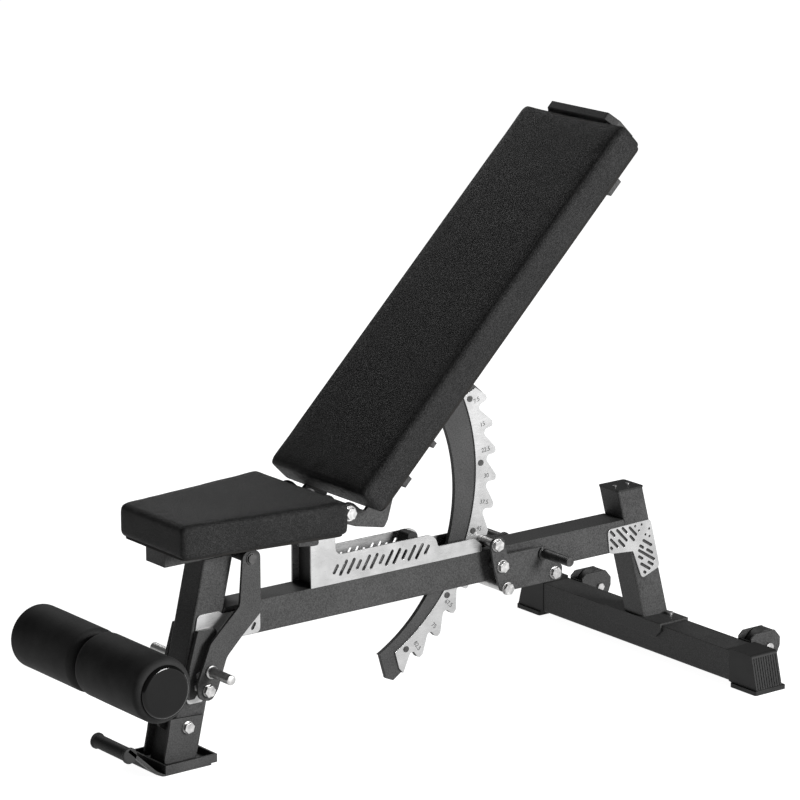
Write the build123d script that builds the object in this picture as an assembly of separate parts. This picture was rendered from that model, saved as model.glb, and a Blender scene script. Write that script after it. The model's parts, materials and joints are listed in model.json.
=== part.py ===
from build123d import *
import math
import os

os.makedirs("parts", exist_ok=True)

# Millimetres. +X to the rear, +Z up, floor at z = 0, mirror plane y = 0.
HW = 28.25  # half-width of every frame tube
PIVOT = (-181.5, 420.0)  # backrest pivot, x and z
HINGE = (148.4, 610.5)  # top hinge of the arc ladder
SEAT_HINGE = (-234.0, 380.0)
PROP_TOP = (-365.0, 362.0)
PROP_LOW = (-458.8, 141.0)
ROLLER = (-644.3, 214.1)
WHEEL = (668.0, 51.5)
TILT = math.radians(45)


def unit(a, b):
    d = math.hypot(b[0] - a[0], b[1] - a[1])
    return ((b[0] - a[0]) / d, (b[1] - a[1]) / d)


def rounded(points):
    """Segments of a closed outline; each point is (u, v) or (u, v, corner radius)."""
    n, segs = len(points), []
    for i, p in enumerate(points):
        a, b = points[i - 1], points[(i + 1) % n]
        r = p[2] if len(p) > 2 else 0
        if not r:
            segs.append((p[:2], None, p[:2]))
            continue
        u, v = unit(p, a), unit(p, b)
        half = math.acos(max(-1, min(1, u[0] * v[0] + u[1] * v[1]))) / 2
        t = r / math.tan(half)
        w = (u[0] + v[0], u[1] + v[1])
        k = math.hypot(*w)
        c = (p[0] + w[0] / k * r / math.sin(half), p[1] + w[1] / k * r / math.sin(half))
        mid = (c[0] - w[0] / k * r, c[1] - w[1] / k * r)
        segs.append(((p[0] + u[0] * t, p[1] + u[1] * t), mid, (p[0] + v[0] * t, p[1] + v[1] * t)))
    return segs


PLANES = {
    "xz": (lambda u, v, w: Vector(u, w, v), Vector(0, 1, 0)),
    "xy": (lambda u, v, w: Vector(u, v, w), Vector(0, 0, 1)),
    "yz": (lambda u, v, w: Vector(w, u, v), Vector(1, 0, 0)),
}


def wire_solid(segs, plane, lo, hi):
    at, along = PLANES[plane]
    edges = []
    for i, (start, mid, end) in enumerate(segs):
        if mid is not None:
            edges.append(ThreePointArc(at(*start, lo), at(*mid, lo), at(*end, lo)))
        nxt = segs[(i + 1) % len(segs)][0]
        if math.hypot(nxt[0] - end[0], nxt[1] - end[1]) > 1e-4:
            edges.append(Line(at(*end, lo), at(*nxt, lo)))
    face = Face(Wire(edges))
    return Solid.extrude(face, along * (hi - lo))


def prism(points, plane, lo, hi):
    return wire_solid(rounded(points), plane, lo, hi)


def pair(points, lo, hi, plane="xz"):
    """The same plate at +y and -y."""
    return prism(points, plane, lo, hi), prism(points, plane, -hi, -lo)


def block(x0, x1, y0, y1, z0, z1):
    return Pos((x0 + x1) / 2, (y0 + y1) / 2, (z0 + z1) / 2) * Box(x1 - x0, y1 - y0, z1 - z0)


def rod(x, z, y0, y1, r, inner=0):
    """A bar along Y."""
    c = Pos(x, (y0 + y1) / 2, z) * Rot(90, 0, 0) * Cylinder(r, y1 - y0)
    if inner:
        c -= Pos(x, (y0 + y1) / 2, z) * Rot(90, 0, 0) * Cylinder(inner, y1 - y0 + 2)
    return c


def post(x, y, z0, z1, r):
    return Pos(x, y, (z0 + z1) / 2) * Cylinder(r, z1 - z0)


def hexhead(x, z, y0, y1, af, turn=0.0):
    r = af / math.sqrt(3)
    pts = [
        (x + r * math.cos(math.radians(60 * i + turn)), z + r * math.sin(math.radians(60 * i + turn)))
        for i in range(6)
    ]
    return prism(pts, "xz", y0, y1)


def both(make):
    """make(sign) for the +y and the -y side."""
    return [make(1), make(-1)]


def span(s, a, b):
    return (a, b) if s > 0 else (-b, -a)


def slot(x, z, length, width, angle, y0=-60, y1=60):
    """An obround cutter through a plate, long way at angle degrees from +X."""
    c = Pos(x, (y0 + y1) / 2, z) * Rot(0, -angle, 0) * Box(length - width, y1 - y0, width)
    for k in (-1, 1):
        dx = k * (length - width) / 2 * math.cos(math.radians(angle))
        dz = k * (length - width) / 2 * math.sin(math.radians(angle))
        c += rod(x + dx, z + dz, y0, y1, width / 2)
    return c


def save(name, *shapes):
    solids = [s for shape in shapes for s in shape.solids()]
    export_step(Compound(children=solids) if len(solids) > 1 else solids[0], f"parts/{name}.step")


def fused(first, *rest):
    out = first
    for r in rest:
        out = out + r
    return out


# ---- frame tubes -------------------------------------------------------------
def post_x(z):
    return -444.3 + 0.2309 * (z - 362.9)


def up_x(z):
    return 494.3 + 0.2663 * (328.6 - z)


def soft_edges(solid, pick, r):
    return fillet([e for e in solid.edges() if pick(e)], r)


def steep(e):
    return abs((e @ 1 - e @ 0).Z) > 100


beam = prism([(post_x(273) + 61.6, 273), (up_x(273), 273), (up_x(213), 213), (post_x(213) + 61.6, 213)], "xz", -HW, HW)
beam = soft_edges(beam, lambda e: abs((e @ 1 - e @ 0).X) > 500 and e.center().Z < 220, 3)
beam -= prism([(post_x(270) + 61.0, 270), (up_x(270) + 1, 270), (up_x(216) + 1, 216), (post_x(216) + 61.0, 216)], "xz", -HW + 3, HW - 3)
beam -= prism([(52, -12, 11), (197, -12, 11), (197, 12, 11), (52, 12, 11)], "xy", 260, 280)
beam -= prism([(8, -12, 11), (176, -12, 11), (176, 12, 11), (8, 12, 11)], "xy", 205, 225)
save("main_beam", beam)

front = prism([(post_x(366), 366), (post_x(366) + 61.6, 366), (post_x(10) + 61.6, 10), (post_x(10), 10)], "xz", -HW, HW)
front = soft_edges(front, steep, 4)
front -= prism([(post_x(370) + 3.1, 370), (post_x(370) + 58.5, 370), (post_x(5) + 58.5, 5), (post_x(5) + 3.1, 5)], "xz", -HW + 3, HW - 3)
save("front_post", front)

rear = prism([(up_x(328.6), 328.6), (up_x(328.6) + 61.3, 328.6), (up_x(68) + 61.3, 68), (up_x(68), 68)], "xz", -HW, HW)
rear = soft_edges(rear, steep, 4)
rear -= prism([(up_x(332) + 3.1, 332), (up_x(332) + 58.2, 332), (up_x(60) + 58.2, 60), (up_x(60) + 3.1, 60)], "xz", -HW + 3, HW - 3)
save("rear_upright", rear)
cap = prism([(493.3, -29, 5), (557, -29, 5), (557, 29, 5), (493.3, 29, 5)], "xy", 328.6, 331.8)
save("upright_cap", cap)

base = soft_edges(block(563, 624, -269.5, 269.5, 9, 68), lambda e: abs((e @ 1 - e @ 0).Y) > 500 and e.center().Z < 20, 4) - block(566, 621, -280, 280, 12, 65)
save("rear_base_tube", base)

saddle = block(558.5, 628.5, -80, 80, 43, 72) - block(563, 624, -90, 90, 30, 68)
saddle -= prism([(up_x(90), 90), (up_x(90) + 61.3, 90), (up_x(60) + 61.3, 60), (up_x(60), 60)], "xz", -HW, HW)
corner = prism([(-80, 43), (-66, 43), (-80, 57)], "yz", 550, 640)
saddle -= corner
saddle -= prism([(80, 43), (66, 43), (80, 57)], "yz", 550, 640)
save("base_saddle", saddle)
save(
    "cap_and_saddle_screws",
    post(510, 0, 331.8, 333.2, 4),
    post(541, 0, 331.8, 333.2, 4),
    post(615, 43, 72, 76.5, 6.5),
    post(615, -43, 72, 76.5, 6.5),
)


def end_cap(s):
    pts = [(269.5, 9), (269.5, 72.5), (329, 72.5, 7), (345, 10, 3), (347, 8), (347, 0), (276.5, 0), (276.5, 8)]
    body = prism([(s * p[0], *p[1:]) for p in pts], "yz", 562, 625)
    lo, hi = span(s, 276.5, 347)
    flare = prism([(558.4, lo, 4), (633.9, lo, 4), (633.9, hi, 4), (558.4, hi, 4)], "xy", 0, 8)
    lo, hi = span(s, 246, 269.5)
    return fused(body, flare, block(566, 621, lo, hi, 12, 65))


save("base_end_caps", end_cap(1), end_cap(-1))

# ---- foot and carry handle -----------------------------------------------------
foot = block(-547, -439, -54, 54, 6, 21) - block(-543, -443, -50, 50, 10, 30)
save("foot_plate", foot)
strap = prism([(-450, 2), (-551, 2, 20), (-567, 9.6, 20), (-622, 62), (-618, 66.2), (-564, 14.6, 16), (-550, 6, 12), (-450, 6)], "xz", -52, 52)
strap -= block(-640, -571, -36, 36, 8, 90)
strap = fused(strap, rod(-618, 54, -50, 50, 9))
save("carry_handle_bracket", strap)
grip = fused(rod(-618, 54, -52, 52, 12.5), rod(-618, 54, -52, -47, 14.5), rod(-618, 54, 47, 52, 14.5)) - strap
save("carry_handle_grip", grip)
save("foot_rubber_pad", block(-540, -455, 18, 46, 0, 2), block(-540, -455, -46, -18, 0, 2))
pts = [(-521, 94), (-527, 59), (-537, 14, 7), (-472, 14, 7), (-467, 37), (-453, 90)]
save("foot_bracket", *pair(pts, HW, 33))
save(
    "foot_bolts",
    *[fused(rod(-486, 73.7, *span(s, 33, 34.5), 11), hexhead(-486, 73.7, *span(s, 34.5, 41), 18, 12)) for s in (1, -1)],
)

# ---- front and rear gussets ----------------------------------------------------
def cut_slots(solid, places):
    for x, z, length, width, angle in places:
        solid -= slot(x, z, length, width, angle)
    return solid


front_gusset = [(post_x(270) + 5, 270, 9), (-415, 270, 12), (-409, 264), (-328.5, 264, 4), (-328.5, 216, 9), (-418, 214), (-453, 113, 5), (-484, 113, 8), (post_x(125) + 13, 125)]
holes = [(-343, 229, 15, 6.5, 58)] + [(-361 - 19 * i, 239, 30, 6.5, 58) for i in range(3)]
save("front_gussets", *[cut_slots(p, holes) for p in pair(front_gusset, HW, 31.25)])
rear_gusset = [(467, 261, 9), (573, 264, 9), (598, 167, 8), (554, 151, 8), (531, 208.5, 4), (473, 213, 9)]
holes = [(477.5, 223.5, 9, 5.4, -45), (483.5, 232.5, 28, 5.4, -45), (479.5, 251.5, 18, 5.4, -45), (502, 229, 24, 5.4, -45)]
holes += [(502.5, 244.5, 39, 5.4, -45), (509, 253, 19, 5.4, -45), (528, 234.5, 18, 5.4, -45), (529.5, 248, 28, 5.4, -45)]
holes += [(566, 219, 28, 5.4, -32), (552, 213.5, 14, 5.4, -32), (572, 201.5, 20, 5.4, -32), (564.5, 195.5, 50, 5.4, -32)]
holes += [(550, 192.5, 15, 5.4, -32), (575, 177, 18, 5.4, -32), (562, 173.5, 30, 5.4, -32), (561, 162, 9, 5.4, -32)]
dots = [(535, 256.5), (544.5, 246.5), (551, 257), (561, 236), (570, 246), (571, 231)]
plates = []
for plate in pair(rear_gusset, HW, 31.25):
    plate = cut_slots(plate, holes)
    for x, z in dots:
        plate -= rod(x, z, -60, 60, 2.4)
    plates.append(plate)
save("rear_gussets", *plates)

# ---- guard plates that carry the back pivot --------------------------------------
px, pz = PIVOT
guard = [(-217, 273), (-217, 372, 6), (-200, 390, 8), (-199.5, 438, 17.9), (-163.5, 438, 17.9), (-163.5, 325, 14), (62, 325, 24), (66, 300, 6), (150, 300), (168, 286, 8), (168, 273)]
holes = [(-163 + 17 * i, 299, 32 if i % 3 else 20, 6.5, 58) for i in range(13)]
save("guard_plates", *[cut_slots(p, holes) - rod(px, pz, -60, 60, 15) for p in pair(guard, 27.0, 30.0)])
liner = [(108, 273), (124, 294, 4), (165, 294), (165, 273)]
save("slot_liner", *pair(liner, 21, 27.0))
save("rest_bumper", prism([(8, 273), (10, 331, 6), (30, 331, 6), (32, 273)], "xz", -15, 15))

save("pivot_tube", fused(rod(px, pz, -87.8, 87.8, 15, 9), rod(px, pz, 86.3, 87.8, 17.5, 9), rod(px, pz, -87.8, -86.3, 17.5, 9)))

# ---- seat support ---------------------------------------------------------------
sx, sz = SEAT_HINGE
support = block(-202, -172, -27, 27, 273, 360) - block(-198, -176, -23, 23, 270, 356)
ears = [(-247, 356, 5), (-247, 393, 12.9), (-221, 393, 12.9), (-203, 372, 10), (-203, 352, 5), (-215, 352, 5)]
save("seat_hinge_ears", *[ear - rod(sx, sz, -60, 60, 6) for ear in pair(ears, 30, 34)])
save("seat_support", support)
save(
    "seat_hinge_bolt",
    fused(rod(sx, sz, -40, 40, 5.95), hexhead(sx, sz, 34, 41, 17), hexhead(sx, sz, -41, -34, 17)),
)

# ---- ladder catch on the beam ----------------------------------------------------
catch = [(192, 197, 8), (336, 197, 8), (336, 221, 8), (295, 267, 10), (205, 267, 3), (198, 300, 15), (168, 306, 15), (168, 282, 10), (176, 242, 18)]
b1, b2, b3, b4 = (181.3, 288.8), (193.5, 246.6), (205.6, 202.0), (317.5, 212.5)
plates = []
for plate in pair(catch, 52, 57):
    for x, z in (b1, b2, b3, b4):
        plate -= rod(x, z, -70, 70, 6)
    plates.append(plate)
save("catch_plates", *plates)
heads = []
for s in (1, -1):
    for i, (x, z) in enumerate((b1, b2, b3, b4)):
        shank = rod(x, z, *span(s, 8.0 if i == 0 else (HW if i < 3 else 40), 57), 6)
        if i == 2:
            shank = rod(x, z, *span(s, 0, 57), 6)
        washer = rod(x, z, *span(s, 57, 58.5), 12)
        head = hexhead(x, z, *span(s, 58.5, 65.5), 19, 20 + 17 * i)
        heads.append(fused(shank, washer, head))
low = heads[2] + heads[6]
save("catch_bolts", *[heads[i] for i in (0, 1, 3, 4, 5, 7)], low)
save("catch_rollers", *[rod(*b1, *span(s, 7.9, 51.9), 8.2, 6) for s in (1, -1)], rod(*b3, -51.9, 51.9, 9, 6))
spacers = [rod(*b2, *span(s, HW, 52), 9, 6) for s in (1, -1)]
for s in (1, -1):
    lo, hi = span(s, HW, 52)
    spacers.append(block(302, 333, lo, hi, 199, 226) - rod(*b4, -60, 60, 6))
save("catch_spacers", *spacers)
save(
    "band_pegs",
    *[
        fused(rod(290.6, 254.5, *span(s, 57, 61), 13), rod(290.6, 254.5, *span(s, 57, 131), 9), rod(290.6, 254.5, *span(s, 131, 134), 8.4))
        for s in (1, -1)
    ],
)

# ---- seat ladder (fixed notch plates on the front post) -----------------------------
notch = [(-489, 124, 3), (-484, 183), (-466, 244, 3)]


def tip_x(z):
    return -467.5 + 0.2309 * (z - 141)


edge = [(-424, 244, 8), (-434, 205, 6), (-447, 183, 3), (tip_x(178), 178, 2)]
for i in range(2):
    z = 172 - 20.5 * i
    edge += [(tip_x(z), z), (tip_x(z) - 10, z - 3, 2), (tip_x(z) - 9, z - 12, 2), (tip_x(z - 15), z - 15)]
edge += [(tip_x(130), 130, 3), (tip_x(126) - 4, 124, 3)]
save("seat_ladder", *pair(notch + edge, 31.25, 39.5))

# ---- leg roller arm and shaft ------------------------------------------------------
rx, rz = ROLLER
arm = [(-513, 66), (-524, 74, 6), (-535, 120, 20), (-610, 180, 12), (-668, 190, 20), (-668, 238, 20), (-622, 236, 12), (post_x(172), 172)]
arm = prism(arm, "xz", -4, 4) - rod(rx, rz, -10, 10, 10)
save("roller_arm", arm)
save("roller_shaft", rod(rx, rz, -203, 203, 10))
for name, s in (("left", 1), ("right", -1)):
    foam = rod(rx, rz, *span(s, 5, 199), 57.8, 15)
    foam = fillet([e for e in foam.edges() if e.geom_type == GeomType.CIRCLE and abs(e.radius - 57.8) < 0.1], 9)
    save(f"foam_roller_{name}", foam)
    lid = rod(rx, rz, *span(s, 199, 206.5), 46.3)
    lid = fillet([e for e in lid.edges() if e.geom_type == GeomType.CIRCLE and abs(abs(e.center().Y) - 206.5) < 0.1], 6)
    lid -= rod(rx, rz, *span(s, 190, 203.4), 10.08)
    save(f"roller_core_{name}", lid + rod(rx, rz, *span(s, 4.8, 199.5), 15, 10.08))

# ---- transport wheels --------------------------------------------------------------
wx, wz = WHEEL
brackets = []
for name, s in (("left", 1), ("right", -1)):
    side = [(624, 38.6), (624, 74, 3), (635, 83, 4), (683, 83, 4), (697, 67, 4), (697, 44, 12), (680, 38.6, 4)]
    parts = prism(side, "xz", *span(s, 225, 228)) + prism(side, "xz", *span(s, 258, 261))
    lo, hi = span(s, 225, 261)
    parts = parts + block(624, 627, lo, hi, 38.6, 70)
    parts -= rod(wx, wz, -300, 300, 5)
    brackets.append(parts)
    tyre = rod(wx, wz, *span(s, 229, 257), 34, 24)
    tyre = fillet([e for e in tyre.edges() if e.geom_type == GeomType.CIRCLE and abs(e.radius - 34) < 0.1], 5)
    save(f"wheel_tyre_{name}", tyre)
    hub = rod(wx, wz, *span(s, 230.5, 255.5), 24, 5.08) + rod(wx, wz, *span(s, 228.3, 257.7), 9, 5.08)
    save(f"wheel_hub_{name}", hub)
save("wheel_brackets", *brackets)
save(
    "wheel_axle_bolts",
    *[
        fused(rod(wx, wz, *span(s, 222, 264), 5), rod(wx, wz, *span(s, 261, 266), 9), hexhead(wx, wz, *span(s, 219, 225), 15))
        for s in (1, -1)
    ],
)

# ---- backrest, drawn flat and turned up to its rest angle ----------------------------
# u runs up the pad from the pivot, n is normal to the pad's face.
TOP, UNDER = 36.8, -25.9


def up(shape):
    """From the flat drawing, x = u and z = n about the pivot, to the rest pose."""
    return Pos(px, 0, pz) * Rot(0, -45, 0) * shape


def soft_block(x0, x1, y0, y1, z0, z1, corner, edge):
    s = block(x0, x1, y0, y1, z0, z1)
    s = fillet(s.edges().filter_by(Axis.Z), corner)
    top = [e for e in s.edges() if abs(e.center().Z - z1) < 0.01]
    return fillet(top, edge)


board = block(25.7 + 6, 858.7 - 6, -139, 139, UNDER, UNDER + 14)
board = fillet(board.edges().filter_by(Axis.Z), 12)
pad = soft_block(25.7, 858.7, -145, 145, UNDER, TOP, 16, 15) - board
save("back_pad", up(pad))
save("back_board", up(board))
straps = [block(a, b, -138, 138, UNDER - 10, UNDER) for a, b in ((92.7, 112.7), (179.7, 190.7), (747.7, 780.7))]
save("cross_straps", *[up(s) for s in straps])
tube = block(60, 785, -25, 25, UNDER - 60, UNDER - 10) - block(63, 782, -22, 22, UNDER - 57, UNDER - 13)
side = [(-18, 18, 17.9), (18, 18, 17.9), (19.5, -14, 6), (24.5, -26.1), (92, -26.1), (92, -36.0), (113, -36.0), (113, -40, 4), (41.4, -78.5, 6), (26.5, -82, 6), (-9, -28, 10), (-18, -8, 12)]
save("back_brackets", *[up(p - rod(0, 0, -120, 120, 8.95)) for p in pair(side, 88, 95)])
shaft = rod(0, 0, -95.5, 95.5, 8.95)
for s in (1, -1):
    shaft = shaft + rod(0, 0, *span(s, 95, 97), 14) + hexhead(0, 0, *span(s, 97, 104), 19, 15)
save("pivot_shaft", up(shaft))
hx, hn = 186.5 + 181.5, 321.4 - 420
lug = [(hx - 24, UNDER - 60), (hx + 24, UNDER - 60), (hx + 11.5, hn - 11.5, 10), (hx - 11.5, hn - 11.5, 10)]
lugs = [prism(lug, "xz", a, b) - rod(hx, hn, -30, 30, 5) for a, b in ((8.5, 12.5), (-12.5, -8.5))]
save("back_frame_tube", up(fused(tube, *lugs)))
pin = rod(hx, hn, -13, 13, 4.95) + hexhead(hx, hn, 12.5, 18, 13, 20) + hexhead(hx, hn, -18, -12.5, 13, 20)
save("ladder_hinge_bolt", up(pin))
bar = [(-80, TOP - 4, 5), (-95, TOP - 25, 4), (-95, UNDER - 5), (-60, UNDER - 5), (-60, UNDER), (-90, UNDER), (-90, TOP - 33), (90, TOP - 33), (90, UNDER), (60, UNDER), (60, UNDER - 5), (95, UNDER - 5), (95, TOP - 25, 4), (80, TOP - 4, 5)]
handle = prism(bar, "yz", 860.5, 875)
for s in (1, -1):
    lo, hi = span(s, 60, 92)
    handle = handle + block(800, 870, lo, hi, UNDER - 5, UNDER)
save("head_handle", up(handle))
screws = [post(u, v, UNDER - 14, UNDER - 10, 7) for u in (102.7, 764) for v in (-115, 115)]
screws += [post(u, v, UNDER - 9, UNDER - 5, 6) for u in (815, 842) for v in (-76, 76)]
save("pad_screws", *[up(s) for s in screws])

# ---- arc ladder --------------------------------------------------------------------
def polar(r, deg):
    a = math.radians(deg)
    return (px + r * math.cos(a), pz + r * math.sin(a))


def teeth(closing, start):
    """Outline of one toothed plate: the teeth from 7.5 to 82.5 degrees, then closing points."""
    segs = [(p, None, p) for p in start]
    for i in range(11):
        t = 20 - 7.5 * i
        c = t - 2.4
        segs.append((polar(399.5, t + 0.35), None, polar(399.5, t + 0.35)))
        segs.append((polar(399.5, t - 0.75), None, polar(399.5, t - 0.75)))
        segs.append((polar(396.5, t - 1.15), None, polar(396.5, t - 1.15)))
        segs.append((polar(386, c + 1.19), polar(386 - 8 * math.cos(0.45), c + 8 * math.sin(0.45) / 386 * 57.3), polar(379.48, c - 0.69)))
    segs += closing
    return segs


inner_screws = [polar(364, a) for a in (22, 2, -18, -38, -58)]
face_close = [
    (polar(399.5, -62.1), None, polar(399.5, -62.1)),
    (polar(386, -62.6), None, polar(386, -62.6)),
    (polar(353, -61.5), polar(353, -19), polar(353, 23.8)),
    (polar(376, 23.8), None, polar(376, 23.8)),
]
face = teeth(face_close, [polar(384, 23.8)])
plates = []
for lo, hi in ((4, 7), (-7, -4)):
    plate = wire_solid(face, "xz", lo, hi)
    for x, z in inner_screws:
        plate -= rod(x, z, -20, 20, 3.5)
    plates.append(plate)
save("ladder_faces", *plates)


def inner(deg):
    """On the black web's inner arc, whose centre is a little below and in front of the pivot."""
    a = math.radians(deg)
    return (-188.8 + 313.9 * math.cos(a), 391.8 + 313.9 * math.sin(a))


hx, hz = HINGE
core_close = [
    (polar(399.5, -62.1), None, polar(399.5, -62.1)),
    (polar(397, -62.4), None, polar(397, -62.4)),
    (polar(399.5, -65.5), None, polar(399.5, -65.5)),
    (polar(387, -67.2), None, polar(387, -67.2)),
    (polar(339, -66.3), None, polar(339, -66.3)),
    (inner(-63.5), inner(-20), inner(29)),
]
core = wire_solid(teeth(core_close, [polar(366, 30.3), polar(378, 30.3), polar(384, 25)]), "xz", -4, 4)
core = core + rod(hx, hz, -4, 4, 11.5) + rod(hx, hz, -8, 8, 9)
core -= rod(hx, hz, -20, 20, 5.03)
for x, z in inner_screws:
    core -= rod(x, z, -20, 20, 3.5)
save("ladder_core", core)
save(
    "ladder_screws",
    *[fused(rod(x, z, -7, 7, 3.5), rod(x, z, 7, 8.6, 5.6), rod(x, z, -8.6, -7, 5.6)) for x, z in inner_screws],
)

# ---- seat ---------------------------------------------------------------------------
tx, tz = PROP_TOP
rail = block(-525.6, -221, -28.5, 28.5, 367.3, 394.5) - block(-520, -210, -25.5, 25.5, 370.3, 391.5)
rail = rail + rod(tx, tz, -52, 52, 10) + rod(sx, sz, -28.5, 28.5, 9.5)
rail -= rod(sx, sz, -40, 40, 6.02)
rail -= rod(tx, tz, -60, 60, 6)
save("seat_rail", rail)


def trapezoid(x0, x1, w0, w1, z0, z1):
    s = prism([(x0, -w0, 16), (x1, -w1, 16), (x1, w1, 16), (x0, w0, 16)], "xy", z0, z1)
    return s


sboard = trapezoid(-530, -217, 93, 135.5, 394.5, 408)
spad = trapezoid(-536.6, -210.7, 98.8, 141.8, 394.5, 456.6)
spad = fillet([e for e in spad.edges() if abs(e.center().Z - 456.6) < 0.01], 15) - sboard
save("seat_board", sboard)
save("seat_pad", spad)

# ---- seat prop: dog-leg plates, pegs, pins --------------------------------------------
qx, qz = PROP_LOW
prop = [(-382.5, 376, 14), (-346, 376, 14), (-345.6, 262, 12), (-384, 228), (-418.5, 194.5, 30), (-438, 140, 16), (-452, 120.5, 14), (-479.5, 128, 16), (-480, 158, 10), (-452, 224, 16), (-390, 281, 16)]
save("prop_plates", *[p - rod(tx, tz, -70, 70, 6) - rod(qx, qz, -70, 70, 6) for p in pair(prop, 53, 58)])
save(
    "prop_top_bolt",
    fused(rod(tx, tz, -60, 60, 5.95), rod(tx, tz, 58, 59.5, 11), rod(tx, tz, -59.5, -58, 11), rod(tx, tz, 59.5, 62.5, 8.5), rod(tx, tz, -62.5, -59.5, 8.5)),
)
save(
    "prop_pins",
    *[fused(rod(qx, qz, *span(s, 33, 59), 6), rod(qx, qz, *span(s, 58, 59.5), 11), hexhead(qx, qz, *span(s, 59.5, 66), 19, 5)) for s in (1, -1)],
)
save("prop_pegs", *[fused(rod(-452, 174, *span(s, 58, 62), 12), rod(-452, 174, *span(s, 58, 119), 9)) for s in (1, -1)])
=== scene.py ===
"""An adjustable weight bench: looks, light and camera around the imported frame."""

import json
import math

import bmesh
import bpy
import numpy as np
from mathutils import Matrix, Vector


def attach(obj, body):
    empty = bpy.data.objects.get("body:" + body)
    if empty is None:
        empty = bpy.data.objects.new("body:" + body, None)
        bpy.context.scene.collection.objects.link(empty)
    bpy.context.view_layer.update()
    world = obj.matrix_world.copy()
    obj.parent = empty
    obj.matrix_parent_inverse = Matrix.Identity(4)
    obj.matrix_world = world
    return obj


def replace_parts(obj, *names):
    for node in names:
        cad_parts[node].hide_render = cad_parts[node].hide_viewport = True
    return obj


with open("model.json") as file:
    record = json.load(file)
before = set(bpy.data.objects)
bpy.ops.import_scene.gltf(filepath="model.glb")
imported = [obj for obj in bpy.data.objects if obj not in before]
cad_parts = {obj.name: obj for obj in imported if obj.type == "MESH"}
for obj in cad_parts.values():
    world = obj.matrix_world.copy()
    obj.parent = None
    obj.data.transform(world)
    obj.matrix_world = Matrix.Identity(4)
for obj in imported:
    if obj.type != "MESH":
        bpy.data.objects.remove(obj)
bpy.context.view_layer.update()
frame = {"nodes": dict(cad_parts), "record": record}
nodes = frame["nodes"]
MM = 0.001


# ---- shader expressions -------------------------------------------------------
class Sock:
    """A socket whose arithmetic adds Math nodes to its material."""

    def __init__(self, net, out):
        self.net, self.out = net, out

    def _math(self, op, *values):
        return self.net.add("ShaderNodeMath", {"operation": op}, {i: v for i, v in enumerate(values)})

    def __add__(self, o):
        return self._math("ADD", self, o)

    def __mul__(self, o):
        return self._math("MULTIPLY", self, o)

    __radd__, __rmul__ = __add__, __mul__


class Net:
    """One material's node tree."""

    def __init__(self, name):
        self.material = bpy.data.materials.new(name)
        self.material.use_nodes = True
        self.tree = self.material.node_tree
        self.shader = self.tree.nodes["Principled BSDF"]

    def add(self, kind, settings=None, inputs=None, output=0):
        node = self.tree.nodes.new(kind)
        for key, value in (settings or {}).items():
            if key == "stops":
                ramp = node.color_ramp.elements
                while len(ramp) < len(value):
                    ramp.new(0.5)
                for stop, (at, grey) in zip(ramp, value):
                    stop.position, stop.color = at, (grey, grey, grey, 1)
            else:
                setattr(node, key, value)
        for key, value in (inputs or {}).items():
            self.put(node.inputs[key], value)
        return Sock(self, node.outputs[output])

    def put(self, socket, value):
        if isinstance(value, Sock):
            self.tree.links.new(value.out, socket)
        else:
            socket.default_value = value

    def place(self):
        return self.add("ShaderNodeTexCoord", output="Object")

    def noise(self, scale, detail=2.0, where=None, rough=0.5):
        return self.add(
            "ShaderNodeTexNoise",
            None,
            {"Vector": where or self.place(), "Scale": scale, "Detail": detail, "Roughness": rough},
        )

    def ramp(self, value, stops):
        return self.add("ShaderNodeValToRGB", {"stops": stops}, {"Fac": value})

    def blend(self, factor, low, high):
        """A colour from low to high as factor goes from 0 to 1."""
        return self.add(
            "ShaderNodeMix",
            {"data_type": "RGBA"},
            {0: factor, 6: low, 7: high},
            output=2,
        )

    def bump(self, height, strength, distance, normal=None):
        ports = {"Height": height, "Strength": strength, "Distance": distance}
        if normal is not None:
            ports["Normal"] = normal
        return self.add("ShaderNodeBump", None, ports)

    def set(self, **values):
        for key, value in values.items():
            self.put(self.shader.inputs[key.replace("_", " ")], value)
        return self.material


def grey(v, warm=0.0):
    return (v * (1 + warm), v, v * (1 - warm), 1)


def powder_coat(name, base, edge=0.0022):
    """Fine-texture black paint: a sand-like bump, a faint cloudiness and softly broken edges."""
    n = Net(name)
    sand = n.noise(480, 3)
    cloud = n.noise(14, 3)
    tone = n.ramp(sand * 0.75 + cloud * 0.25, [(0.36, 0.0), (0.66, 1.0)])
    colour = n.blend(tone, grey(base * 0.4), grey(base * 1.85))
    soft = n.add("ShaderNodeBevel", {"samples": 4}, {"Radius": edge})
    return n.set(
        Base_Color=colour,
        Roughness=n.ramp(cloud, [(0.3, 0.50), (0.7, 0.62)]),
        Specular_IOR_Level=0.2,
        Normal=n.bump(sand, 0.4, 0.0006, soft),
    )


def polished_plate(name):
    """Bright steel sheet with fine grain along its length and a few handling marks."""
    n = Net(name)
    where = n.add("ShaderNodeMapping", None, {"Vector": n.place(), "Scale": (60, 60, 1400)})
    grain = n.noise(1.0, 3, where)
    marks = n.noise(26, 4)
    colour = n.blend(n.ramp(marks, [(0.35, 0.0), (0.75, 1.0)]), grey(0.27), grey(0.37))
    soft = n.add("ShaderNodeBevel", {"samples": 4}, {"Radius": 0.0006})
    return n.set(
        Base_Color=colour,
        Metallic=0.75,
        Roughness=n.ramp(grain, [(0.3, 0.26), (0.7, 0.40)]),
        Normal=n.bump(grain, 0.08, 0.0003, soft),
    )


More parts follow.
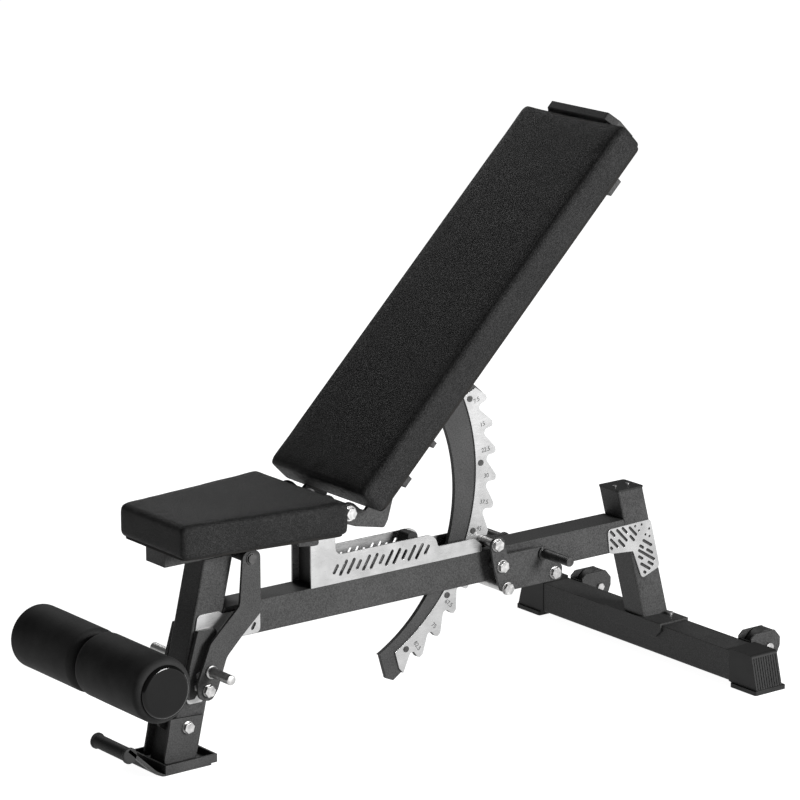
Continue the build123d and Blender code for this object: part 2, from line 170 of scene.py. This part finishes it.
def zinc(name, base=0.36, rough=0.3):
    """Zinc-plated fastener steel, a little mottled."""
    n = Net(name)
    mottle = n.noise(120, 3)
    colour = n.blend(n.ramp(mottle, [(0.3, 0.0), (0.7, 1.0)]), grey(base * 0.8), grey(base * 1.2, 0.01))
    soft = n.add("ShaderNodeBevel", {"samples": 4}, {"Radius": 0.0009})
    return n.set(
        Base_Color=colour,
        Metallic=1.0,
        Roughness=n.ramp(mottle, [(0.3, rough), (0.7, rough + 0.14)]),
        Normal=n.bump(mottle, 0.06, 0.0004, soft),
    )


def moulded(name, base, rough, grain=900, depth=0.0004):
    """Moulded plastic or rubber with a fine spark-eroded skin."""
    n = Net(name)
    skin = n.noise(grain, 2)
    cloud = n.noise(20, 2)
    tone = n.ramp(cloud * 0.6 + skin * 0.4, [(0.35, 0.0), (0.65, 1.0)])
    colour = n.blend(tone, grey(base * 0.75), grey(base * 1.3))
    soft = n.add("ShaderNodeBevel", {"samples": 4}, {"Radius": 0.0012})
    return n.set(
        Base_Color=colour,
        Roughness=n.ramp(cloud, [(0.3, rough - 0.05), (0.7, rough + 0.06)]),
        Specular_IOR_Level=0.2,
        Normal=n.bump(skin, 0.3, depth, soft),
    )


def grained_vinyl(name):
    """Black upholstery vinyl: a cell-pattern pebble, light specks and a faint overall wave."""
    n = Net(name)
    where = n.place()
    cells = n.add(
        "ShaderNodeTexVoronoi",
        {"feature": "DISTANCE_TO_EDGE"},
        {"Vector": where, "Scale": 420, "Randomness": 0.95},
    )
    pebble = n.ramp(cells, [(0.02, 0.0), (0.32, 1.0)])
    fleck = n.noise(430, 3, where, 0.7)
    wave = n.noise(9, 3, where)
    tone = n.ramp(fleck * 0.85 + wave * 0.15, [(0.45, 0.0), (0.68, 1.0)])
    colour = n.blend(tone, grey(0.002), grey(0.020))
    height = pebble * 0.7 + fleck * 0.5 + wave * 2.0
    return n.set(
        Base_Color=colour,
        Roughness=n.ramp(fleck, [(0.3, 0.46), (0.7, 0.64)]),
        Specular_IOR_Level=0.12,
        Normal=n.bump(height, 0.7, 0.0009),
    )


def closed_foam(name):
    """Skinned foam: very matt, with small open cells and soft dents."""
    n = Net(name)
    where = n.place()
    cells = n.noise(900, 3, where, 0.6)
    dents = n.noise(22, 2, where)
    colour = n.blend(n.ramp(cells * 0.6 + dents * 0.4, [(0.36, 0.0), (0.66, 1.0)]), grey(0.003), grey(0.018))
    return n.set(
        Base_Color=colour,
        Roughness=n.ramp(cells, [(0.3, 0.62), (0.7, 0.80)]),
        Specular_IOR_Level=0.12,
        Normal=n.bump(cells * 0.6 + dents * 2.0, 0.4, 0.0007),
    )


def painted_board(name):
    """Black-stained ply under the pads, with a long grain."""
    n = Net(name)
    where = n.add("ShaderNodeMapping", None, {"Vector": n.place(), "Scale": (3, 40, 40)})
    grain = n.noise(4, 4, where)
    colour = n.blend(n.ramp(grain, [(0.35, 0.0), (0.7, 1.0)]), grey(0.004, 0.05), grey(0.010, 0.08))
    return n.set(
        Base_Color=colour,
        Roughness=n.ramp(grain, [(0.3, 0.6), (0.7, 0.8)]),
        Specular_IOR_Level=0.1,
        Normal=n.bump(grain, 0.2, 0.0004),
    )


def printed_black(name):
    """Dull black ink with worn patches."""
    n = Net(name)
    worn = n.noise(500, 3)
    colour = n.blend(n.ramp(worn, [(0.5, 0.0), (0.8, 1.0)]), grey(0.006), grey(0.03))
    return n.set(Base_Color=colour, Roughness=0.6)


paint = powder_coat("powder_coat_black", 0.019)
looks = {
    "black_paint": paint,
    "polished_plate": polished_plate("polished_steel_plate"),
    "zinc": zinc("zinc_plated_steel"),
    "dark_steel": zinc("blackened_steel", 0.05, 0.40),
    "black_plastic": moulded("moulded_black_plastic", 0.005, 0.48),
    "rubber": moulded("matt_black_rubber", 0.014, 0.66, 700, 0.0006),
    "wheel_rubber": moulded("satin_wheel_rubber", 0.02, 0.5, 500),
    "foam": closed_foam("closed_cell_foam"),
    "vinyl": grained_vinyl("grained_black_vinyl"),
    "board": painted_board("stained_ply"),
}
ink = printed_black("worn_black_ink")
lid_black = moulded("glossy_black_lid", 0.001, 0.14, 500, 0.00003)
slot_of = {s["node"]: s["material_slot"] for s in frame["record"]["subparts"]}
for node, obj in nodes.items():
    for material_slot in obj.material_slots:
        roller_lid = node.startswith("roller_core")
        material_slot.material = lid_black if roller_lid else looks[slot_of[node]]


# ---- surfaces ------------------------------------------------------------------
def grid_mesh(name, points, wrap_u=False, wrap_v=False, cap_u=False):
    """A mesh over a (rows, columns, 3) array of points, closed round either way or capped at its end rows."""
    rows, cols = points.shape[:2]
    i = np.arange(rows if wrap_u else rows - 1)[:, None]
    j = np.arange(cols if wrap_v else cols - 1)[None, :]

    def at(a, b):
        return (a % rows) * cols + b % cols

    quads = np.stack([at(i, j), at(i + 1, j), at(i + 1, j + 1), at(i, j + 1)], -1).reshape(-1, 4)
    faces = quads.tolist()
    if cap_u:
        faces += [list(range(cols)), list(range((rows - 1) * cols, rows * cols))[::-1]]
    mesh = bpy.data.meshes.new(name)
    mesh.from_pydata(points.reshape(-1, 3).tolist(), [], faces)
    mesh.update()
    return mesh


def piece(name, mesh, look, body, smooth=True):
    obj = bpy.data.objects.new(name, mesh)
    bpy.context.scene.collection.objects.link(obj)
    mesh.materials.clear()
    mesh.materials.append(look)
    if smooth:
        mesh.polygons.foreach_set("use_smooth", [True] * len(mesh.polygons))
    recalculate(mesh)
    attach(obj, body)
    return obj


def recalculate(mesh):
    """Doubles merged and faces turned outwards."""
    bm = bmesh.new()
    bm.from_mesh(mesh)
    bmesh.ops.remove_doubles(bm, verts=bm.verts, dist=1e-6)
    bmesh.ops.recalc_face_normals(bm, faces=bm.faces)
    bm.to_mesh(mesh)
    bm.free()


def lathe_y(name, profile, x, z, around=96, radius=None):
    """A profile of (y, r) turned about the Y line through x, z; radius(y, angle, r) may shape it."""
    y, r = (np.array(c, float) * MM for c in zip(*profile))
    angle = np.linspace(0, 2 * math.pi, around, endpoint=False)
    rr = np.repeat(r[:, None], around, 1)
    if radius is not None:
        rr = radius(y[:, None], angle[None, :], rr)
    along = np.repeat(y[:, None], around, 1)
    points = np.stack([x * MM + rr * np.cos(angle), along, z * MM + rr * np.sin(angle)], -1)
    return grid_mesh(name, points, wrap_v=True, cap_u=True)


def joined(name, meshes):
    """Several meshes as one."""
    verts, faces, start = [], [], 0
    for mesh in meshes:
        verts += [tuple(v.co) for v in mesh.vertices]
        faces += [[start + k for k in p.vertices] for p in mesh.polygons]
        start = len(verts)
    out = bpy.data.meshes.new(name)
    out.from_pydata(verts, [], faces)
    return out


# ---- padded pieces ---------------------------------------------------------------
def rounded_box(size, edge, steps=6):
    """A box with rounded edges.

    For a unit direction n, the point is the corner of the inner box (half-size size / 2 - edge)
    that n points to, plus edge * n.
    """
    half = np.array(size) / 2 - edge
    up = np.linspace(0, math.pi / 2, steps)
    lat = np.concatenate([-up[::-1], up])
    lon = np.concatenate([up, up + math.pi / 2, up + math.pi, up + 1.5 * math.pi])
    side = np.concatenate([[(1, 1)] * steps, [(-1, 1)] * steps, [(-1, -1)] * steps, [(1, -1)] * steps])
    level = np.concatenate([[-1] * steps, [1] * steps])
    flat = np.cos(lat)[:, None]
    n = np.stack(
        [flat * np.cos(lon), flat * np.sin(lon), np.repeat(np.sin(lat)[:, None], len(lon), 1)],
        -1,
    )
    core = np.stack(
        [
            np.repeat(side[None, :, 0], len(lat), 0) * half[0],
            np.repeat(side[None, :, 1], len(lat), 0) * half[1],
            np.repeat(level[:, None], len(lon), 1) * half[2],
        ],
        -1,
    )
    return core + edge * n


CLOTH_FRAMES = 20


def inflate(obj, cap, pressure=4.0):
    """An even skin blown up by cloth pressure, with no point moved further than cap; returns its points."""
    remesh = obj.modifiers.new("even_skin", "REMESH")
    remesh.mode, remesh.voxel_size = "VOXEL", 0.006
    apply(obj)
    before = coords(obj.data)
    cloth = obj.modifiers.new("skin", "CLOTH")
    cloth.settings.use_pressure = True
    cloth.settings.uniform_pressure_force = pressure
    cloth.settings.effector_weights.gravity = 0
    cloth.settings.quality = 5
    for f in range(1, CLOTH_FRAMES + 1):
        bpy.context.scene.frame_set(f)
    step = evaluated(obj) - before
    obj.modifiers.clear()
    bpy.context.scene.frame_set(1)
    far = np.linalg.norm(step, axis=1, keepdims=True)
    before = before + step * np.minimum(1, cap / np.maximum(far, 1e-9))
    return before


def coords(mesh):
    out = np.empty(len(mesh.vertices) * 3)
    mesh.vertices.foreach_get("co", out)
    return out.reshape(-1, 3)


def evaluated(obj):
    made = obj.evaluated_get(bpy.context.evaluated_depsgraph_get())
    return coords(made.data)


def apply(obj):
    made = obj.evaluated_get(bpy.context.evaluated_depsgraph_get())
    mesh = bpy.data.meshes.new_from_object(made)
    obj.modifiers.clear()
    old, obj.data = obj.data, mesh
    bpy.data.meshes.remove(old)


def cushion(name, size, edge, cap, shape, place, body, node):
    """A stuffed pad: a rounded box, blown up a little under its cover, then set in place by place(points)."""
    points = rounded_box(size, edge)
    mesh = grid_mesh(name, points, wrap_v=True, cap_u=True)
    recalculate(mesh)
    obj = bpy.data.objects.new(name, mesh)
    bpy.context.scene.collection.objects.link(obj)
    p = inflate(obj, cap)
    p = place(shape(p))
    obj.data.vertices.foreach_set("co", p.ravel())
    obj.data.update()
    sub = obj.modifiers.new("smooth_skin", "SUBSURF")
    sub.levels = sub.render_levels = 1
    apply(obj)
    obj.data.materials.clear()
    obj.data.materials.append(looks["vinyl"])
    obj.data.polygons.foreach_set("use_smooth", [True] * len(obj.data.polygons))
    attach(obj, body)
    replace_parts(obj, node)
    return obj


PIVOT = np.array([-0.1815, 0.0, 0.42])
TOP, UNDER = 0.0368, -0.0259
PAD_START, PAD_END = 0.0257, 0.8587
ALONG = np.array([math.sqrt(0.5), 0, math.sqrt(0.5)])
OUT = np.array([-math.sqrt(0.5), 0, math.sqrt(0.5)])


def flat_back(p):
    """The underside lies flat on its board; the ends pull in a touch between the corners."""
    q = p.copy()
    thick = TOP - UNDER
    q[:, 2] = np.maximum(q[:, 2], -thick / 2)
    q[:, 0] -= np.sign(q[:, 0]) * 0.0015 * np.clip(1 - (q[:, 1] / 0.14) ** 2, 0, 1) * (np.abs(q[:, 0]) > 0.38)
    return q


def on_back(p):
    """From a box centred on zero to the raised backrest."""
    u = p[:, 0] + (PAD_START + PAD_END) / 2
    n = p[:, 2] + (TOP + UNDER) / 2
    return PIVOT + u[:, None] * ALONG + n[:, None] * OUT + p[:, 1:2] * np.array([0, 1, 0])


cushion(
    "back_cushion",
    (PAD_END - PAD_START - 0.001, 0.2885, TOP - UNDER - 0.002),
    0.010,
    0.0018,
    flat_back,
    on_back,
    "backrest",
    "back_pad",
)

SEAT_LOW, SEAT_HIGH = -0.5366, -0.2107
SEAT_UNDER, SEAT_TOP = 0.3945, 0.4566


def flat_seat(p):
    """Narrower towards the front, flat below."""
    q = p.copy()
    t = (q[:, 0] - (SEAT_LOW - SEAT_HIGH) / 2) / (SEAT_HIGH - SEAT_LOW)
    q[:, 1] *= (0.0988 + (0.1418 - 0.0988) * t) / 0.1418
    q[:, 2] = np.maximum(q[:, 2], -(SEAT_TOP - SEAT_UNDER) / 2)
    return q


def on_seat(p):
    return p + np.array([(SEAT_LOW + SEAT_HIGH) / 2, 0, (SEAT_UNDER + SEAT_TOP) / 2])


cushion(
    "seat_cushion",
    (SEAT_HIGH - SEAT_LOW - 0.001, 0.2825, SEAT_TOP - SEAT_UNDER - 0.002),
    0.010,
    0.0018,
    flat_seat,
    on_seat,
    "seat",
    "seat_pad",
)

# ---- leg rollers -------------------------------------------------------------------
ROLL_X, ROLL_Z, ROLL_R = -644.3, 214.1, 57.8


def soft_barrel(y, angle, r):
    """The foam's skin: its radius times slow waves a few tenths of a millimetre high."""
    wave = np.sin(3 * angle + 40 * y) + np.sin(5 * angle - 70 * y + 1.0) + np.sin(2 * angle + 23 * y + 2.0)
    return r * (1 + 0.0012 * wave)


def foam_profile(s):
    """Bore, rounded inner end, straight barrel, rounded outer end, bore."""
    t = np.linspace(0, math.pi / 2, 9)
    inner = [(5 + 13 * (1 - math.cos(a)), ROLL_R - 0.4 - 13 * (1 - math.sin(a))) for a in t]
    outer = [(199 - 12 * (1 - math.cos(a)), ROLL_R - 0.4 - 12 * (1 - math.sin(a))) for a in t[::-1]]
    body = [(y, ROLL_R - 0.4) for y in np.linspace(20, 184, 24)]
    line = [(5, 15.1)] + inner + body + outer + [(199, 15.1)]
    return [(s * y, r) for y, r in line]


for side, s in (("left", 1), ("right", -1)):
    mesh = lathe_y(f"foam_sleeve_{side}", foam_profile(s), ROLL_X, ROLL_Z, 120, soft_barrel)
    roll = piece(f"foam_sleeve_{side}", mesh, looks["foam"], f"roller_{side}")
    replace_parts(roll, f"foam_roller_{side}")

# ---- grip, pegs -----------------------------------------------------------------------
grip_line = [(-52, 9.2), (-52, 13.6), (-51, 14.5), (-48.5, 14.5), (-47.2, 13.4), (-46, 12.4)]
grip_line += [(y, 12.4 - (0.7 if k % 2 else 0)) for k, y in enumerate(np.arange(-44, 44.1, 2.0))]
grip_line += [(46, 12.4), (47.2, 13.4), (48.5, 14.5), (51, 14.5), (52, 13.6), (52, 9.2)]
grip = piece("carry_grip", lathe_y("carry_grip", grip_line, -618, 54, 48), looks["rubber"], "frame")
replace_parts(grip, "carry_handle_grip")


def knurl(y, angle, r):
    """Crossed helical grooves cut over the peg's bar."""
    grip_part = (np.abs(y) > 0.064) & (np.abs(y) < 0.116)
    cross = np.abs(np.sin(14 * angle + 900 * y)) * np.abs(np.sin(14 * angle - 900 * y))
    return r - grip_part * 0.0007 * (1 - cross)


peg_line = [(58, 11.5), (59, 12), (61.4, 12), (62, 11.4), (62.2, 9)]
peg_line += [(y, 9) for y in np.linspace(63, 117, 90)] + [(118.4, 8.6), (119, 7.6)]
pegs = joined(
    "knurled_pegs",
    [lathe_y("peg", [(s * y, r) for y, r in peg_line], -452, 174, 84, knurl) for s in (1, -1)],
)
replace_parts(piece("knurled_pegs", pegs, looks["zinc"], "prop"), "prop_pegs")


# ---- numbers on the arc ladder -----------------------------------------------------------
def number(text, x, z, y, height, turn):
    """Flat figures on a plate's face at y, seen from the -y side when y is negative."""
    curve = bpy.data.curves.new("figure", "FONT")
    curve.body, curve.size, curve.align_x, curve.align_y = text, height, "CENTER", "CENTER"
    curve.extrude, curve.resolution_u = 0.00012, 3
    holder = bpy.data.objects.new("figure", curve)
    mesh = bpy.data.meshes.new_from_object(holder)
    bpy.data.objects.remove(holder)
    p = coords(mesh)
    c, s = math.cos(turn), math.sin(turn)
    u, v = p[:, 0] * c - p[:, 1] * s, p[:, 0] * s + p[:, 1] * c
    side = 1 if y < 0 else -1
    q = np.stack([x + side * u, y + p[:, 2], z + v], -1)
    mesh.vertices.foreach_set("co", q.ravel())
    return mesh


def on_ladder(radius, degrees):
    a = math.radians(degrees)
    return PIVOT[0] + radius * math.cos(a), PIVOT[2] + radius * math.sin(a)


FIGURE_HEIGHT = 0.0118
figures = []
for k in range(11):
    angle = 7.5 * (k + 1)
    words = f"{angle:g}"
    x, z = on_ladder(0.3772, 20 - 7.5 * k + 0.4)
    for face_y in (-0.00712, 0.00712):
        turn = math.radians(20 - 7.5 * k) * (1 if face_y < 0 else -1)
        figures.append(number(words, x, z, face_y, FIGURE_HEIGHT, turn))
piece("ladder_figures", joined("ladder_figures", figures), ink, "ladder", smooth=False)

# ---- ribs on the end caps -----------------------------------------------------------------
def rib(x, s, wide=2.4):
    """One upright bar lying on a cap's sloping outer face."""
    out, low, high = 1.6, 10, 66

    def face(z):
        return 345.2 - (z - 10) * (345.2 - 329.2) / (72.5 - 10)

    ring = [(x - wide / 2, 0.0), (x - wide / 4, out), (x + wide / 4, out), (x + wide / 2, 0.0)]
    rows = [[(a, s * min(face(z) + b - 0.2, 346.8), z) for a, b in ring] for z in (low, 38, high)]
    return grid_mesh("rib", np.array(rows) * MM, wrap_v=True, cap_u=True)


ribs = [rib(x, s) for s in (1, -1) for x in np.linspace(567, 620, 10)]
for mesh in ribs:
    recalculate(mesh)
piece("end_cap_ribs", joined("end_cap_ribs", ribs), looks["black_plastic"], "frame", smooth=False)

# ---- light, floor, camera --------------------------------------------------------------------
floor_mesh = grid_mesh("floor", np.array([[(x, y, -0.0003) for y in (-30, 30)] for x in (-30, 30)], float))
floor = bpy.data.objects.new("floor", floor_mesh)
bpy.context.scene.collection.objects.link(floor)
ground = Net("pale_floor")
tone = ground.noise(2, 2)
floor_mesh.materials.append(
    ground.set(
        Base_Color=ground.blend(tone, grey(0.30), grey(0.32)),
        Roughness=0.95,
        Specular_IOR_Level=0.0,
        Emission_Color=grey(1.0),
        Emission_Strength=0.96,
    )
)

world = bpy.data.worlds.new("studio")
bpy.context.scene.world = world
world.use_nodes = True
world.node_tree.nodes["Background"].inputs["Color"].default_value = (1, 1, 1, 1)
world.node_tree.nodes["Background"].inputs["Strength"].default_value = 0.20


def area_light(name, where, aim, size, power):
    light = bpy.data.lights.new(name, "AREA")
    light.size, light.energy = size, power
    obj = bpy.data.objects.new(name, light)
    bpy.context.scene.collection.objects.link(obj)
    obj.location = where
    obj.rotation_euler = (Vector(aim) - Vector(where)).to_track_quat("-Z", "Y").to_euler()
    return obj


area_light("key", (1.5, -4.6, 1.8), (0, 0, 0.45), 1.5, 600)
area_light("rim", (1.2, 3.6, 2.6), (0, 0, 0.5), 1.5, 40)

CAMERA_TARGET = (-0.0004, 0.0039, 0.5761)
CAMERA_BACK = (-0.5893, -0.7698, 0.2453)
CAMERA_AWAY = 6.917
camera = bpy.data.cameras.new("camera")
camera.sensor_width, camera.lens = 36.0, 174.7
camera.shift_x = 0.0035
camera.clip_end = 100
eye = bpy.data.objects.new("camera", camera)
bpy.context.scene.collection.objects.link(eye)
back = Vector(CAMERA_BACK).normalized()
eye.location = Vector(CAMERA_TARGET) + back * CAMERA_AWAY
eye.rotation_euler = (-back).to_track_quat("-Z", "Y").to_euler()
bpy.context.scene.camera = eye
bpy.context.scene.view_settings.view_transform = "Standard"
